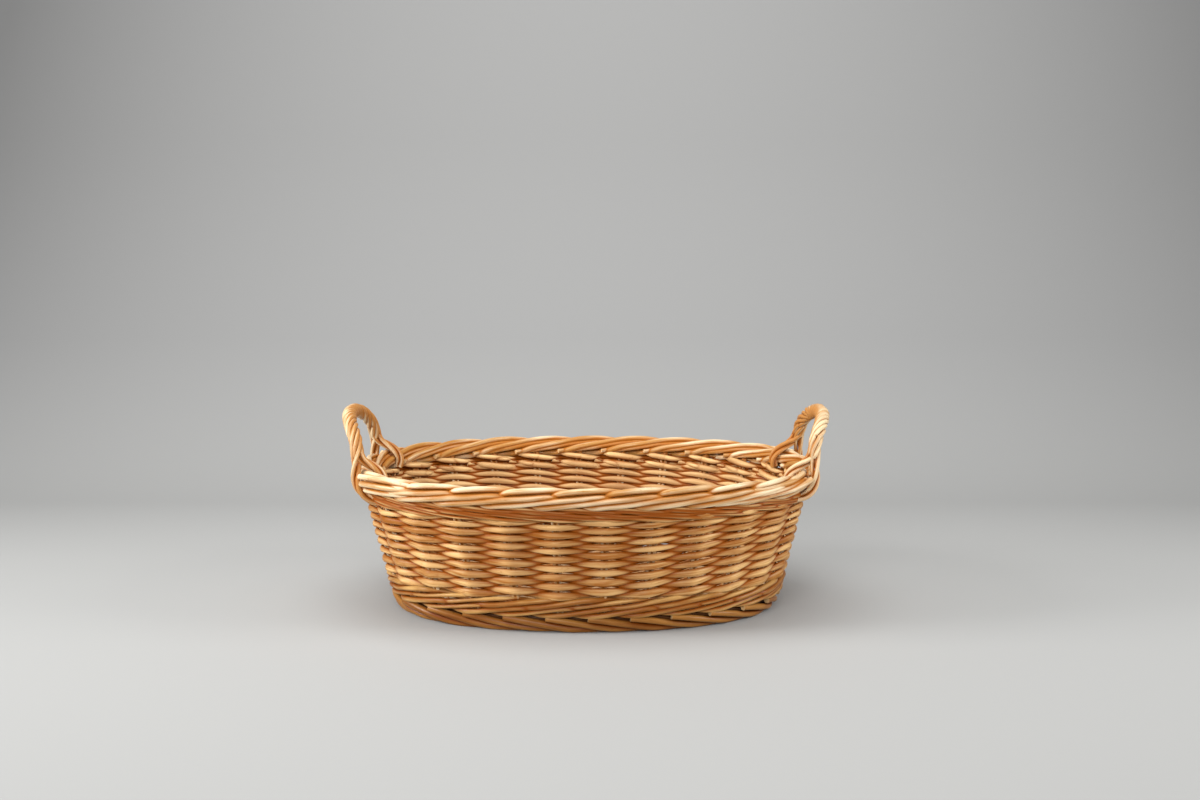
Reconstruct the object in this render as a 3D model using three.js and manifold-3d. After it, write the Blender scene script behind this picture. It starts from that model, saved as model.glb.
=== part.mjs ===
// Oval willow basket with two bow handles.
// Millimetres, +Z up. The origin is the middle of the footprint, on the floor.
// X runs along the length of the basket and Y across it.
//
// Each piece follows the oval of the stakes. Its place is given by three values:
//   s     how far round it is, counted in stakes from the middle of the front (-Y) side
//   out   how far outside the stakes it is
//   z     how high it is
import * as THREE from "three";
import { mergeVertices } from "three/addons/utils/BufferGeometryUtils.js";
import Module from "manifold-3d";

// The oval that the stakes stand on: a superellipse at the floor and a larger one at the rim.
const STAKES = 26;
const FIRST_STAKE = 0.3; // part of a gap between the middle of the front and the first stake
const FLOOR_HALF_LENGTH = 187;
const FLOOR_HALF_WIDTH = 127;
const FLOOR_SQUARENESS = 2.15;
const RIM_HALF_LENGTH = 218.5;
const RIM_HALF_WIDTH = 162.5;
const RIM_SQUARENESS = 2.3;

// Rods. A stake is a pair of rods side by side that become one thick strand in the border.
const CLEARANCE = 0.4;
const STAKE_THICKNESS = 3.8;
const STAKE_PAIR_WIDTH = 7.4;
const BORDER_STRAND = 6.2;
const WEAVER_BUTT = 4.8;
const WEAVER_TIP = 3.2;
const WEAVER_LENGTH_IN_STAKES = 18;
const BOTTOM_WALE_ROD = 4.2;
const BOTTOM_WALE_HEIGHT = 13;
const TOP_WALE_ROD = 2.6;
const TOP_WALE_HEIGHT = 5.2;
const FOOT_ROD = 6.2;
const FOOT_HEIGHT = 17.8;
const FOOT_FLAT_DEPTH = 0.5;

// Woven base with its frame of sticks.
const BASE_THICKNESS = 9;
const STICK_WIDTH = 6;
const STICK_HEIGHT = 5;
const LONG_STICKS = 3;
const LONG_STICK_SPACING = 22;
const CROSS_STICKS = 10;
const CROSS_STICK_SPACING = 34;

// Bow handles, each bound round the border by two loops.
const HANDLE_THICKNESS = 15;
const HANDLE_HALF_SPAN = 68;
const HANDLE_FOOT = 5;
const HANDLE_RISE = 43;
const HANDLE_LEAN = 23;
const HANDLE_ARCH_SQUARENESS = 2.4;
const STRAP_THICKNESS = 3;
const STRAP_WIDTH = 8;

// Levels, each stacked on the one below.
const waleBase = FOOT_HEIGHT + CLEARANCE;
const waleTop = waleBase + BOTTOM_WALE_HEIGHT;
const weaverStart = waleTop + CLEARANCE + WEAVER_BUTT / 2;
const weaverTop = weaverHeight(WEAVER_LENGTH_IN_STAKES) + WEAVER_TIP / 2;
const topWaleBase = weaverTop + CLEARANCE;
const topWaleTop = topWaleBase + TOP_WALE_HEIGHT;
const strapMiddle = topWaleTop + CLEARANCE + STRAP_THICKNESS / 2;
const borderBase = strapMiddle + STRAP_THICKNESS / 2 + CLEARANCE;
const borderLay = BORDER_STRAND + CLEARANCE;

// The border, as the way of one stake's strand. Along is counted in stakes from where the stake
// rises, out and up in strand widths. It turns down behind the next stake, comes out under the
// border, passes in front of two stakes, and goes back in behind the fifth.
const BORDER_WAY = [
  { along: 0, out: 0, up: 1.35 },
  { along: 0.04, out: -0.01, up: 1.82 },
  { along: 0.15, out: -0.05, up: 2.24 },
  { along: 0.5, out: -0.22, up: 2.32 },
  { along: 0.75, out: -0.62, up: 2.1 },
  { along: 1, out: -1.06, up: 1.5 },
  { along: 1.25, out: -0.88, up: 0.85 },
  { along: 1.5, out: 0, up: 0.1 },
  { along: 1.75, out: 0.68, up: 0 },
  { along: 2, out: 1.05, up: 0.12 },
  { along: 2.25, out: 1.13, up: 0.24 },
  { along: 2.5, out: 1.17, up: 0.52 },
  { along: 2.75, out: 1.15, up: 0.94 },
  { along: 3, out: 1.08, up: 1.22 },
  { along: 3.25, out: 0.7, up: 1.36 },
  { along: 3.5, out: 0.05, up: 1.3 },
  { along: 3.75, out: -0.62, up: 1 },
  { along: 4, out: -1.17, up: 0.3 },
  { along: 4.2, out: -1.4, up: 0.05 },
];
const borderTop = borderBase + BORDER_STRAND + borderLay * Math.max(...BORDER_WAY.map((p) => p.up));

// The foot, as the way of one rod, in the same terms but with out and up in rod widths.
const FOOT_WAY = [
  { along: -0.4, out: 0.45, up: 1.94 },
  { along: 0.75, out: 0.32, up: 1.07 },
  { along: 1.85, out: -0.1, up: 0.1 },
  { along: 2.5, out: -0.4, up: 0 },
];

const wasm = await Module();
wasm.setup();

// Points of an oval of superellipse form, spaced evenly along its length.
function evenOval(halfLength, halfWidth, squareness) {
  const SAMPLES = 2880;
  const power = 2 / squareness;
  const xs = [];
  const ys = [];
  const lengths = [0];
  for (let i = 0; i <= SAMPLES; i++) {
    const turn = (2 * Math.PI * i) / SAMPLES;
    const sin = Math.sin(turn);
    const cos = Math.cos(turn);
    xs.push(halfLength * Math.sign(sin) * Math.abs(sin) ** power);
    ys.push(-halfWidth * Math.sign(cos) * Math.abs(cos) ** power);
    if (i) lengths.push(lengths[i - 1] + Math.hypot(xs[i] - xs[i - 1], ys[i] - ys[i - 1]));
  }
  const whole = lengths[SAMPLES];
  return (s) => {
    const share = s / STAKES - Math.floor(s / STAKES);
    let low = 0;
    let high = SAMPLES;
    while (high - low > 1) {
      const middle = (low + high) >> 1;
      if (lengths[middle] <= share * whole) low = middle;
      else high = middle;
    }
    const part = (share * whole - lengths[low]) / (lengths[high] - lengths[low]);
    return new THREE.Vector2(
      THREE.MathUtils.lerp(xs[low], xs[high], part),
      THREE.MathUtils.lerp(ys[low], ys[high], part),
    );
  };
}

const floorOval = evenOval(FLOOR_HALF_LENGTH, FLOOR_HALF_WIDTH, FLOOR_SQUARENESS);
const rimOval = evenOval(RIM_HALF_LENGTH, RIM_HALF_WIDTH, RIM_SQUARENESS);

function onWall(s, z) {
  return floorOval(s).lerp(rimOval(s), z / borderBase);
}

function outwards(s, z) {
  const STEP = 0.05;
  const along = onWall(s + STEP, z).sub(onWall(s - STEP, z));
  return new THREE.Vector3(along.y, -along.x, 0).normalize();
}

function place(s, out, z) {
  const point = onWall(s, z);
  return outwards(s, z).multiplyScalar(out).add(new THREE.Vector3(point.x, point.y, z));
}

// Height of a weaver's middle after it has passed so many stakes. It climbs by its own thickness
// at each stake, so the rods lie on each other where they cross, and it thins towards its tip.
function weaverHeight(passed) {
  const thinning = (WEAVER_TIP - WEAVER_BUTT) / WEAVER_LENGTH_IN_STAKES;
  return weaverStart + (WEAVER_BUTT + CLEARANCE) * passed + (thinning * passed * passed) / 2;
}

function weaverThickness(passed) {
  return THREE.MathUtils.lerp(WEAVER_BUTT, WEAVER_TIP, passed / WEAVER_LENGTH_IN_STAKES);
}

// A closed rod through stations { at, outward, thick, wide }. thick is its size along outward and
// wide its size across that. turned turns its section, and without loop it has flat ends.
function rod(stations, sides, { loop = false, turned = 0 } = {}) {
  const positions = [];
  const indices = [];
  const count = stations.length;
  stations.forEach(({ at, outward, thick, wide }, i) => {
    const before = stations[loop ? (i + count - 1) % count : Math.max(i - 1, 0)].at;
    const after = stations[loop ? (i + 1) % count : Math.min(i + 1, count - 1)].at;
    const ahead = after.clone().sub(before).normalize();
    const side = outward.clone().addScaledVector(ahead, -outward.dot(ahead)).normalize();
    const across = ahead.clone().cross(side);
    for (let j = 0; j < sides; j++) {
      const turn = turned + (2 * Math.PI * j) / sides;
      const point = at
        .clone()
        .addScaledVector(side, (Math.cos(turn) * thick) / 2)
        .addScaledVector(across, (Math.sin(turn) * wide) / 2);
      positions.push(point.x, point.y, point.z);
    }
  });
  for (let i = 0; i < (loop ? count : count - 1); i++) {
    const here = i * sides;
    const next = ((i + 1) % count) * sides;
    for (let j = 0; j < sides; j++) {
      const k = (j + 1) % sides;
      indices.push(here + j, here + k, next + k, here + j, next + k, next + j);
    }
  }
  const last = (count - 1) * sides;
  for (let j = 1; j < sides - 1 && !loop; j++) {
    indices.push(0, j + 1, j, last, last + j, last + j + 1);
  }
  return closed(positions, indices);
}

// A ring round the basket with the same profile of [out, z] points all the way. It has a whole
// number of steps from one stake to the next.
function ring(profile, stepsPerStake) {
  const steps = STAKES * stepsPerStake;
  const positions = [];
  const indices = [];
  for (let i = 0; i < steps; i++) {
    const next = (i + 1) % steps;
    profile.forEach(([out, z], j) => {
      const point = place(FIRST_STAKE + i / stepsPerStake, out, z);
      const k = (j + 1) % profile.length;
      const here = i * profile.length;
      const there = next * profile.length;
      positions.push(point.x, point.y, point.z);
      indices.push(here + j, there + j, there + k, here + j, there + k, here + k);
    });
  }
  return closed(positions, indices);
}

function closed(positions, indices) {
  return new THREE.BufferGeometry()
    .setAttribute("position", new THREE.Float32BufferAttribute(positions, 3))
    .setIndex(indices);
}

function toSolid(geometry) {
  const bare = geometry.clone();
  bare.deleteAttribute("normal");
  bare.deleteAttribute("uv");
  const merged = mergeVertices(bare, 1e-4);
  return new wasm.Manifold(
    new wasm.Mesh({
      numProp: 3,
      vertProperties: merged.attributes.position.array,
      triVerts: new Uint32Array(merged.index.array),
    }),
  );
}

function toGeometry(solid) {
  const mesh = solid.getMesh();
  return closed(Array.from(mesh.vertProperties), Array.from(mesh.triVerts));
}

function joined(geometries) {
  return geometries.map(toSolid).reduce((whole, piece) => whole.add(piece));
}

// A straight upright prism of the stake pair's form, used for the stakes and for their holes.
function uprightStations(s, low, high, extra) {
  return [low, high].map((z) => ({
    at: place(s, 0, z),
    outward: outwards(s, z),
    thick: STAKE_THICKNESS + extra,
    wide: STAKE_PAIR_WIDTH + extra,
  }));
}

// One stake: up through the wale and the siding, then round in the border.
function stake(s) {
  const border = BORDER_WAY.map(({ along, out, up }) => {
    const z = borderBase + BORDER_STRAND / 2 + up * borderLay;
    return {
      at: place(s + along, out * borderLay, z),
      outward: outwards(s + along, z),
      thick: BORDER_STRAND,
      wide: BORDER_STRAND,
    };
  });
  return rod([...uprightStations(s, waleBase, topWaleTop, 0), ...border], 6);
}

// One weaver: in behind a stake, out in front of the next, climbing to the right. It swings so far
// that its straight stretches clear the edges of the stakes.
function weaver(s) {
  const stations = [];
  for (let passed = 0; passed <= WEAVER_LENGTH_IN_STAKES; passed++) {
    const z = weaverHeight(passed);
    const thickness = weaverThickness(passed);
    const spacing = onWall(s + passed, z).distanceTo(onWall(s + passed + 1, z));
    const reach = STAKE_THICKNESS / 2 + CLEARANCE + thickness / 2;
    const swing = reach / (1 - STAKE_PAIR_WIDTH / spacing);
    stations.push({
      at: place(s + passed, passed % 2 ? swing : -swing, z),
      outward: outwards(s + passed, z),
      thick: thickness,
      wide: thickness,
    });
  }
  return rod(stations, 4);
}

// A wale: rounds of rods that lie inside and outside the stakes, with a groove between the rounds
// and a way through for each stake.
function wale(low, high, rounds, rodSize, stepsPerStake) {
  const half = STAKE_THICKNESS / 2 + CLEARANCE + rodSize;
  const outer = [[half, low]];
  for (let i = 1; i < rounds; i++) {
    outer.push([half - rodSize / 4, THREE.MathUtils.lerp(low, high, i / rounds)]);
  }
  outer.push([half, high]);
  const inner = outer.map(([out, z]) => [-out, z]).reverse();
  const holes = [];
  for (let k = 0; k < STAKES; k++) {
    holes.push(rod(uprightStations(k + FIRST_STAKE, low - 1, high + 1, 2 * CLEARANCE), 6));
  }
  const body = toSolid(ring([...outer, ...inner], stepsPerStake));
  return toGeometry(holes.map(toSolid).reduce((rest, hole) => rest.subtract(hole), body));
}

// The foot: one thick rod from beside each stake, each lying on the one before, cut flat below.
// Its rods have a flat side down.
function foot() {
  const SIDES = 5;
  const turned = Math.PI / 2 - Math.PI / SIDES;
  const lowest = (FOOT_ROD / 2) * Math.cos(Math.PI / SIDES) - FOOT_FLAT_DEPTH;
  const lift = (FOOT_HEIGHT - FOOT_ROD / 2 - lowest) / FOOT_WAY[0].up;
  const rods = [];
  for (let k = 0; k < STAKES; k++) {
    const stations = FOOT_WAY.map(({ along, out, up }) => ({
      at: place(k + FIRST_STAKE + along, out * FOOT_ROD, lowest + up * lift),
      outward: outwards(k + FIRST_STAKE + along, 0),
      thick: FOOT_ROD,
      wide: FOOT_ROD,
    }));
    rods.push(rod(stations, SIDES, { turned }));
  }
  const slab = new THREE.BoxGeometry(4 * FLOOR_HALF_LENGTH, 4 * FLOOR_HALF_WIDTH, FOOT_ROD);
  slab.translate(0, 0, -FOOT_ROD / 2);
  return toGeometry(joined(rods).subtract(toSolid(slab)));
}

// The inside of the bottom wale, which the base fills.
const baseInset = STAKE_THICKNESS / 2 + CLEARANCE + BOTTOM_WALE_ROD + CLEARANCE;

function baseDisc() {
  const positions = [];
  const indices = [];
  for (let k = 0; k < STAKES; k++) {
    for (const z of [waleBase, waleBase + BASE_THICKNESS]) {
      const point = place(FIRST_STAKE + k, -baseInset, z);
      positions.push(point.x, point.y, point.z);
    }
  }
  positions.push(0, 0, waleBase, 0, 0, waleBase + BASE_THICKNESS);
  const low = 2 * STAKES;
  const high = low + 1;
  for (let k = 0; k < STAKES; k++) {
    const here = 2 * k;
    const next = 2 * ((k + 1) % STAKES);
    indices.push(here, next, next + 1, here, next + 1, here + 1);
    indices.push(low, next, here, high, here + 1, next + 1);
  }
  return closed(positions, indices);
}

// The sticks of the base, grown by extra on each side. They reach past the rim of the base, and
// are cut off there.
function baseSticks(extra) {
  const middle = waleBase + BASE_THICKNESS / 2;
  const width = STICK_WIDTH + 2 * extra;
  const height = STICK_HEIGHT + 2 * extra;
  const sticks = [];
  for (let i = 0; i < LONG_STICKS; i++) {
    const y = (i - (LONG_STICKS - 1) / 2) * LONG_STICK_SPACING;
    const stick = new THREE.BoxGeometry(3 * FLOOR_HALF_LENGTH, width, height);
    sticks.push(stick.translate(0, y, middle));
  }
  for (let i = 0; i < CROSS_STICKS; i++) {
    const x = (i - (CROSS_STICKS - 1) / 2) * CROSS_STICK_SPACING;
    const stick = new THREE.BoxGeometry(width, 3 * FLOOR_HALF_WIDTH, height);
    sticks.push(stick.translate(x, 0, middle));
  }
  return joined(sticks);
}

// A bow handle over the +X end: two upright feet on the border and an arch that leans outwards.
function handle() {
  const STEPS = 14;
  const end = STAKES / 4;
  const stakeGap = onWall(end - 0.5, borderTop).distanceTo(onWall(end + 0.5, borderTop));
  const halfSpan = HANDLE_HALF_SPAN / stakeGap;
  const footBase = borderTop + CLEARANCE;
  const power = 2 / HANDLE_ARCH_SQUARENESS;
  const leg = place(end + halfSpan, 0, footBase);
  const arch = [new THREE.Vector3(leg.x, -leg.y, footBase)];
  for (let i = 0; i <= STEPS; i++) {
    const turn = (Math.PI * i) / STEPS;
    const rise = Math.sin(turn) ** power;
    const across = -Math.sign(Math.cos(turn)) * Math.abs(Math.cos(turn)) ** power;
    const lean = HANDLE_LEAN * rise;
    const height = footBase + HANDLE_FOOT + HANDLE_RISE * rise;
    arch.push(new THREE.Vector3(leg.x + lean, leg.y * across, height));
  }
  arch.push(new THREE.Vector3(leg.x, leg.y, footBase));
  const stations = arch.map((at) => ({
    at,
    outward: new THREE.Vector3(1, 0, 0),
    thick: HANDLE_THICKNESS,
    wide: HANDLE_THICKNESS,
  }));
  return toGeometry(joined([rod(stations, 8), strap(end - halfSpan), strap(end + halfSpan)]));
}

// A loop of strands round the border that binds a handle's leg to it: a box with cut corners.
function strap(s) {
  const top = borderTop + CLEARANCE + STRAP_THICKNESS / 2;
  const middle = (top + strapMiddle) / 2;
  const halfHeight = (top - strapMiddle) / 2;
  const widest = Math.max(...BORDER_WAY.map((p) => p.out));
  const halfWidth = widest * borderLay + BORDER_STRAND / 2 + CLEARANCE + STRAP_THICKNESS / 2;
  const corners = [
    [halfWidth, halfHeight - STRAP_THICKNESS],
    [halfWidth - STRAP_THICKNESS, halfHeight],
  ];
  const quarters = [
    [1, 1],
    [-1, 1],
    [-1, -1],
    [1, -1],
  ];
  const outward = outwards(s, middle);
  const stations = quarters.flatMap(([across, up]) =>
    (across * up > 0 ? corners : corners.toReversed()).map(([out, rise]) => ({
      at: place(s, 0, middle)
        .addScaledVector(outward, across * out)
        .setZ(middle + up * rise),
      outward: outward.clone().multiplyScalar(across).setZ(up),
      thick: STRAP_THICKNESS,
      wide: STRAP_WIDTH,
    })),
  );
  return rod(stations, 4, { loop: true });
}

const willow = (color) => new THREE.MeshStandardMaterial({ color, roughness: 0.5, metalness: 0 });
const basket = new THREE.Group();

function add(name, geometry, color) {
  const mesh = new THREE.Mesh(geometry, willow(color));
  mesh.name = name;
  basket.add(mesh);
  return mesh;
}

const twoDigits = (k) => String(k + 1).padStart(2, "0");

for (let k = 0; k < STAKES; k++) {
  add("stake_" + twoDigits(k), stake(k + FIRST_STAKE), 0xc98f4e);
  add("weaver_" + twoDigits(k), weaver(k + FIRST_STAKE), 0xd9a561);
}
add("foot_border", foot(), 0xc08242);
add("bottom_wale", wale(waleBase, waleTop, 2, BOTTOM_WALE_ROD, 2), 0xb9783c);
add("top_wale", wale(topWaleBase, topWaleTop, 1, TOP_WALE_ROD, 1), 0xc98f4e);

const sticks = baseSticks(0).intersect(toSolid(baseDisc()));
add("base_sticks", toGeometry(sticks), 0xa86c35);
add("base_weaving", toGeometry(toSolid(baseDisc()).subtract(baseSticks(CLEARANCE))), 0xc08242);

const handleForm = handle();
add("right_handle", handleForm, 0xcf9857);
add("left_handle", handleForm, 0xcf9857).rotation.z = Math.PI;

export default basket;
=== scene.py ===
"""A woven willow basket with a twisted handle at each end, in a plain studio.

Each rod of the basket is laid by Geometry Nodes, which carry one rod's way round the oval wall,
and one procedural material gives every rod its own tone and grain.
"""

import math

import bpy
from bpy.props import FloatProperty, FloatVectorProperty, IntProperty, PointerProperty
from bpy.types import Operator, Panel, PropertyGroup
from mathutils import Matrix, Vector


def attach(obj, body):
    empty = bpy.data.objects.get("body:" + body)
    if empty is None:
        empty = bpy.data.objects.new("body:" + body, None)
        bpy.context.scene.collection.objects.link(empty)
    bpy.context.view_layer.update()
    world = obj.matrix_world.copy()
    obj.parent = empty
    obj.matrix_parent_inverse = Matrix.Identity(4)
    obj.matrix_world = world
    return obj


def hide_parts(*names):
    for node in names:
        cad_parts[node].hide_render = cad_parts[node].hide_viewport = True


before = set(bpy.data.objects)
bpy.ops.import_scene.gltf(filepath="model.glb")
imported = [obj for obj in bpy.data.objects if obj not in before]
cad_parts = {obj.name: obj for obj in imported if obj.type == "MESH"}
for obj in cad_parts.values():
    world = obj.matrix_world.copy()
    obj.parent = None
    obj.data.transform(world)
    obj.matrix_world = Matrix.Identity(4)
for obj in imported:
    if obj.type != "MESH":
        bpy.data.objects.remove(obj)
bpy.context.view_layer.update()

bl_info = {
    "name": "Woven Willow Basket",
    "version": (1, 0, 0),
    "blender": (4, 5, 0),
    "location": "3D View > Sidebar > Basket",
    "description": "Builds a woven willow basket rod by rod, with a studio to show it in",
    "category": "Add Mesh",
}

MM = 0.001

# Ways of rods. A station is (along in stakes, outwards from the stakes in mm, height in mm,
# thickness as a share of the rod's), and a smooth line runs through them all.

# The border: each stake bends down to the right at the top, passes behind the next two, comes
# out under them, climbs in front of three more and dives inside, where its end is cut off.
BORDER_WAY = [
    (0, 0, 122, 0.75),
    (-0.02, -0.4, 130, 0.85),
    (-0.06, -0.2, 134.6, 0.92),
    (0.02, 0.8, 138, 0.96),
    (0.16, 2.2, 140.4, 1),
    (0.34, 2.9, 141.8, 1),
    (0.6, 2, 142.7, 1),
    (1, -1.8, 142.2, 1),
    (1.5, -4.6, 138.6, 1),
    (2, -6, 134.8, 1),
    (2.2, -5.5, 132.4, 1),
    (2.4, -3, 129.4, 1),
    (2.6, 1, 127.4, 1),
    (2.8, 4.6, 126.9, 1),
    (3, 5.7, 127.8, 1),
    (3.5, 5.9, 130.5, 1),
    (4, 5.8, 133.2, 1),
    (4.5, 5.3, 135.6, 0.98),
    (4.8, 4.2, 136.7, 0.96),
    (5, 2.6, 136.2, 0.94),
    (5.14, 0.2, 134.2, 0.92),
    (5.25, -2.6, 132.2, 0.86),
    (5.38, -5.6, 131, 0.8),
    (5.52, -8.4, 130.6, 0.74),
]
# The thinner second rod of each stake runs under the first as far as where that dives out.
BORDER_TWIN = [
    (0.06, 0.4, 128, 0.6),
    (0.1, 0.6, 134, 0.7),
    (0.3, 0.2, 138, 0.8),
    (0.6, -0.8, 139, 0.84),
    (1.1, -3.2, 137.6, 0.84),
    (1.6, -5, 134.2, 0.84),
    (2, -4.8, 131.8, 0.78),
    (2.25, -3.4, 129.6, 0.66),
    (2.45, -0.4, 127.6, 0.5),
]
# Beside two of the handles' legs, rods of the border end outside it with blunt cuts, and beside
# the other two rods begin there. These are placed from the middle of the front.
BORDER_ENDS = [
    [
        (3, 0, 135, 0.6),
        (3.5, 3.6, 136.4, 1),
        (4.2, 4.2, 138, 1),
        (4.6, 3, 140, 1),
        (4.93, 1, 143, 1),
    ],
    [
        (2.5, 2, 129, 0.6),
        (3, 5, 131, 1),
        (4, 6.2, 133.6, 1),
        (4.55, 6.4, 135.8, 1),
        (4.95, 7.4, 138.8, 1),
    ],
    [
        (2.2, 1, 126, 0.6),
        (2.8, 5, 127.6, 1),
        (3.9, 6.6, 130, 1),
        (4.6, 10, 134, 1.05),
        (4.9, 15.6, 140.8, 1.1),
    ],
    [
        (21.07, 11.6, 141.2, 1),
        (21.4, 7, 141.8, 1),
        (22, 3, 141.6, 1),
        (22.6, -1, 139, 0.8),
    ],
    [
        (21.06, 12.2, 134.2, 1),
        (21.4, 8.4, 134.8, 1),
        (22, 6, 135.6, 1),
        (22.6, 1.5, 135, 0.7),
    ],
    [
        (21.06, 9.6, 127.8, 1),
        (21.5, 7, 128.8, 1),
        (22.2, 5.6, 130.6, 1),
        (22.8, 1, 131, 0.7),
    ],
]
# The foot: each rod's cut end shows under the wale, and the rod runs down on to the floor.
FOOT_WAY = [
    (-0.34, 3.4, 14.4, 0.96),
    (0, 3.2, 12.6, 1),
    (0.5, 2.5, 8.9, 1),
    (1, 1.2, 5.2, 1),
    (1.4, -0.4, 3.4, 0.97),
    (2, -3, 3.1, 0.85),
]
# Behind the foot's rods, thinner ones run down inside them and close the gaps under the wale;
# their very dark colour is painted shade there.
FOOT_LINING = [
    (-0.6, -3.4, 17.5, 0.8),
    (0.2, -3.8, 14.5, 0.8),
    (1, -4.6, 10.5, 0.8),
    (1.8, -5.8, 6.5, 0.75),
    (2.8, -7, 3.2, 0.7),
]
# One stroke of a wale: out in front of two stakes while it climbs, then back behind the third.
# Height is here a share of the round's height, and outwards a share of the rod's own swing.
WALE_STROKE = [
    (-1.45, -0.2, 1, 0.7),
    (-1.25, -0.9, 0.8, 0.9),
    (-1, -1.05, 0.5, 1),
    (-0.72, -0.62, 0.16, 0.95),
    (-0.5, 0.25, 0.02, 0.92),
    (-0.25, 0.9, 0.04, 1),
    (0, 1.05, 0.13, 1),
    (0.5, 1.0, 0.5, 1),
    (1, 1.05, 0.87, 1),
    (1.25, 0.9, 0.96, 1),
    (1.5, 0.25, 0.98, 0.92),
    (1.72, -0.62, 0.84, 0.95),
    (2, -1.05, 0.5, 1),
    (2.25, -0.9, 0.2, 0.9),
    (2.45, -0.2, 0, 0.7),
]


def between(before, start, end, after, share):
    """A number that share of the way from start to end, on a smooth line through all four."""
    slope = end - before
    bend = 2 * before - 5 * start + 4 * end - after
    turn = 3 * start - before - 3 * end + after
    return 0.5 * (2 * start + slope * share + bend * share**2 + turn * share**3)


def smooth(stations, steps):
    """A smooth line through the stations, with that many steps between each two."""
    ends = [stations[0], *stations, stations[-1]]
    line = []
    for four in zip(ends, ends[1:], ends[2:], ends[3:]):
        for step in range(steps):
            line.append(tuple(between(*numbers, step / steps) for numbers in zip(*four)))
    return [*line, tuple(stations[-1])]


def in_metres(stations):
    """Stations of a way round the basket with their millimetres turned to metres."""
    return [(along, out * MM, up * MM, thick, 0) for along, out, up, thick in stations]


def signed_power(value, power):
    """The value's size to that power, with the value's own sign."""
    return math.copysign(abs(value) ** power, value)


def oval(half_length, half_width, squareness, steps=720):
    """A superellipse from the middle of the front, by the right end to the back and round."""
    points = []
    for step in range(steps):
        turn = 2 * math.pi * step / steps
        x = half_length * signed_power(math.sin(turn), 2 / squareness)
        y = -half_width * signed_power(math.cos(turn), 2 / squareness)
        points.append((x, y, 0, 1, 0))
    return points


def line_object(name, lines, closed=False):
    """A curve object with a straight-sided line for each list of (x, y, z, thickness, turn)."""
    curve = bpy.data.curves.new(name, "CURVE")
    curve.dimensions = "3D"
    for line in lines:
        spline = curve.splines.new("POLY")
        spline.points.add(len(line) - 1)
        for point, (x, y, z, thick, turn) in zip(spline.points, line):
            point.co = (x, y, z, 1)
            point.radius = thick
            point.tilt = turn
        spline.use_cyclic_u = closed
    made = bpy.data.objects.new(name, curve)
    bpy.context.collection.objects.link(made)
    return made


def pick(sockets, key):
    """The socket of that name, or at that place, among those in use."""
    used = [socket for socket in sockets if socket.enabled]
    if isinstance(key, int):
        return used[key]
    return next(socket for socket in used if socket.name == key)


class Value:
    """A node's output, which adds, subtracts, multiplies and divides as a number does."""

    def __init__(self, tree, socket):
        self.tree = tree
        self.socket = socket

    def maths(self, operation, *others):
        """A maths node's result, with this value first and any others after it."""
        return self.tree.maths(operation, self, *others)

    def __add__(self, other):
        return self.maths("ADD", other)

    def __radd__(self, other):
        return self.tree.maths("ADD", other, self)

    def __sub__(self, other):
        return self.maths("SUBTRACT", other)

    def __rsub__(self, other):
        return self.tree.maths("SUBTRACT", other, self)

    def __mul__(self, other):
        return self.maths("MULTIPLY", other)

    def __truediv__(self, other):
        return self.maths("DIVIDE", other)

    def __rtruediv__(self, other):
        return self.tree.maths("DIVIDE", other, self)

    def __pow__(self, other):
        return self.maths("POWER", other)


class Tree:
    """Builds a tree of shader or geometry nodes, a node at a time."""

    def __init__(self, nodes_of):
        self.owner = nodes_of
        self.owner.nodes.clear()

    def node(self, kind, values=None, **settings):
        """Adds a node with these settings. values are for its inputs, by name or place."""
        made = self.owner.nodes.new(kind)
        for name, value in settings.items():
            setattr(made, name, value)
        for key, value in (values or {}).items():
            socket = pick(made.inputs, key)
            if isinstance(value, Value):
                self.owner.links.new(value.socket, socket)
            else:
                socket.default_value = value
        return made

    def end(self, node, key=0):
        return Value(self, pick(node.outputs, key))

    def get(self, kind, values=None, out=0, **settings):
        """Adds a node and gives the output of that name or place."""
        return self.end(self.node(kind, values, **settings), out)

    def maths(self, operation, *values):
        return self.get("ShaderNodeMath", dict(enumerate(values)), operation=operation)

    def vector(self, operation, *values):
        return self.get("ShaderNodeVectorMath", dict(enumerate(values)), operation=operation)

    def scaled(self, vector, amount):
        values = {"Vector": vector, "Scale": amount}
        return self.get("ShaderNodeVectorMath", values, operation="SCALE")

    def xyz(self, x, y, z):
        return self.get("ShaderNodeCombineXYZ", {"X": x, "Y": y, "Z": z})

    def parts(self, vector):
        node = self.node("ShaderNodeSeparateXYZ", {"Vector": vector})
        return [self.end(node, axis) for axis in "XYZ"]

    def mixed(self, share, a, b, kind="RGBA", **settings):
        return self.get("ShaderNodeMix", {0: share, "A": a, "B": b}, data_type=kind, **settings)

    def growing(self, value, start, end, most=1.0, **settings):
        """0 where the value is up to start, and that most from end on."""
        values = {"Value": value, "From Min": start, "From Max": end, "To Max": most}
        return self.get("ShaderNodeMapRange", values, **settings)

    def stored(self, geometry, name, value, kind="FLOAT", domain="POINT"):
        """The geometry with the value kept on it under that name."""
        values = {"Geometry": geometry, "Name": name, "Value": value}
        kept = {"data_type": kind, "domain": domain}
        return self.get("GeometryNodeStoreNamedAttribute", values, **kept)

    def named(self, name, kind="FLOAT"):
        return self.get("GeometryNodeInputNamedAttribute", {"Name": name}, data_type=kind)


# Geometry Nodes


# What every tree of rods takes.
ROD_INPUTS = {
    "Way": ("Object", None),
    "Radius": ("Float", 0.003),
    "Flatness": ("Float", 1.0),
    "Sides": ("Int", 10),
    "Wander": ("Float", 0.0004),
    "Wander Length": ("Float", 0.04),
    "Uneven": ("Float", 0.08),
    "Trim": ("Float", 0.0),
    "Seed": ("Int", 1),
    "Material": ("Material", None),
}

# How fast a rod's wander grows to full from the rod's start, per metre.
WANDER_GROWTH = 30
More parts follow.
